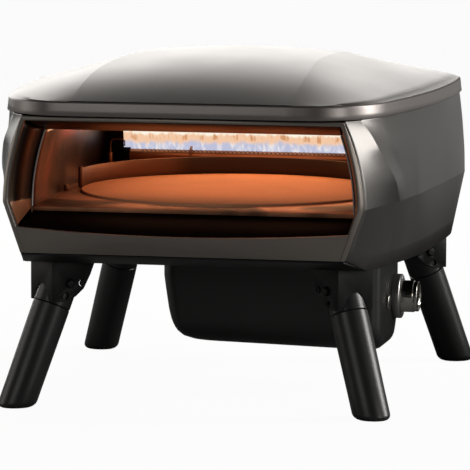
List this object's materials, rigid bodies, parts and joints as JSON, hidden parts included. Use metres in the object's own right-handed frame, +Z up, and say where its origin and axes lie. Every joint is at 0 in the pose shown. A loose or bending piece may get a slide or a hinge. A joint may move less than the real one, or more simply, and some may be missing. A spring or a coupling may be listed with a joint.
{
  "type": "portable pizza oven",
  "caption": "Portable gas pizza oven with an open mouth, a turning round stone, a domed lid, an underslung control box and folding legs.",
  "frame": {"origin": "middle of the footprint's bounding box, at the height of the surface that the feet stand on", "axes": "+X to the right seen from the front (the knob's side), +Y from the mouth to the rear, +Z up"},
  "size_m": [0.55, 0.658, 0.447],
  "materials": {
    "lid_paint": "satin grey enamel",
    "shell_paint": "satin warm grey enamel",
    "frame_paint": "satin grey-brown enamel",
    "black_steel": "satin black",
    "liner_steel": "heat-tinted brushed steel",
    "floor_steel": "brushed",
    "stone": "matt fired stone",
    "ceramic": "matt white ceramic",
    "plain_steel": "plain steel",
    "black_plastic": "fine matt black",
    "leg_plastic": "satin black",
    "chrome": "bright",
    "brass": "plain"
  },
  "bodies": {
    "oven": {"lid_shell": "lid_paint", "side_panel_right": "shell_paint", "side_panel_left": "shell_paint", "rear_panel": "shell_paint", "front_frame": "frame_paint", "front_apron": "frame_paint", "threshold_panel": "black_steel", "base_pan": "black_steel", "leg_bracket_front_right": "black_steel", "leg_bracket_front_left": "black_steel", "leg_bracket_rear_right": "black_steel", "leg_bracket_rear_left": "black_steel", "lintel": "liner_steel", "jamb_right": "liner_steel", "jamb_left": "liner_steel", "liner_side_right": "liner_steel", "liner_side_left": "liner_steel", "liner_back": "liner_steel", "liner_ceiling": "liner_steel", "floor_plate": "floor_steel", "flame_guard": "floor_steel", "igniter_electrode": "ceramic", "gearmotor": "plain_steel", "burner_tube": "plain_steel", "burner_hanger_right": "plain_steel", "burner_hanger_left": "plain_steel", "floor_stud": "plain_steel", "pivot_bolt_front_right": "plain_steel", "pivot_bolt_front_left": "plain_steel", "pivot_bolt_rear_right": "plain_steel", "pivot_bolt_rear_left": "plain_steel", "burner_end_cap": "black_plastic", "control_housing": "black_plastic", "knob_bezel": "black_plastic", "button_ring": "chrome", "bearing_bush": "brass", "gas_valve": "brass", "gas_pipe": "brass", "gas_inlet": "brass"},
    "turntable": {"pizza_stone": "stone", "turntable_plate": "plain_steel", "drive_shaft": "plain_steel"},
    "valve_stem": {"valve_stem": "plain_steel"},
    "gas_knob": {"gas_knob": "chrome"},
    "power_button": {"power_button": "black_plastic"},
    "leg_front_right": {"leg_knuckle_front_right": "leg_plastic", "leg_tube_front_right": "leg_plastic", "lock_plunger_front_right": "plain_steel"},
    "leg_front_left": {"leg_knuckle_front_left": "leg_plastic", "leg_tube_front_left": "leg_plastic", "lock_plunger_front_left": "plain_steel"},
    "leg_rear_right": {"leg_knuckle_rear_right": "leg_plastic", "leg_tube_rear_right": "leg_plastic", "lock_plunger_rear_right": "plain_steel"},
    "leg_rear_left": {"leg_knuckle_rear_left": "leg_plastic", "leg_tube_rear_left": "leg_plastic", "lock_plunger_rear_left": "plain_steel"}
  },
  "joints": [
    {"name": "stone_spin", "type": "hinge", "parent": "oven", "child": "turntable", "pos_m": [0, 0.01239, 0.236], "axis": [0, 0, 1], "continuous": true},
    {"name": "gas_knob_push", "type": "slide", "parent": "oven", "child": "valve_stem", "axis": [-1, 0, 0], "range_m": [0, 0.004], "stiffness_N_per_m": 900},
    {"name": "gas_knob_turn", "type": "hinge", "parent": "valve_stem", "child": "gas_knob", "pos_m": [0.225, 0.08539, 0.115], "axis": [1, 0, 0], "range_deg": [0, 180]},
    {"name": "power_button_press", "type": "slide", "parent": "oven", "child": "power_button", "axis": [-1, 0, 0], "range_m": [0, 0.0025], "stiffness_N_per_m": 500},
    {"name": "leg_fold_front_right", "type": "hinge", "parent": "oven", "child": "leg_front_right", "pos_m": [0.184, -0.19061, 0.156], "axis": [0.7071, 0.7071, 0], "range_deg": [0, 112]},
    {"name": "leg_fold_front_left", "type": "hinge", "parent": "oven", "child": "leg_front_left", "pos_m": [-0.184, -0.19061, 0.156], "axis": [0.7071, -0.7071, 0], "range_deg": [0, 112]},
    {"name": "leg_fold_rear_right", "type": "hinge", "parent": "oven", "child": "leg_rear_right", "pos_m": [0.206, 0.26239, 0.156], "axis": [-0.7071, 0.7071, 0], "range_deg": [0, 112]},
    {"name": "leg_fold_rear_left", "type": "hinge", "parent": "oven", "child": "leg_rear_left", "pos_m": [-0.206, 0.26239, 0.156], "axis": [-0.7071, -0.7071, 0], "range_deg": [0, 112]}
  ]
}
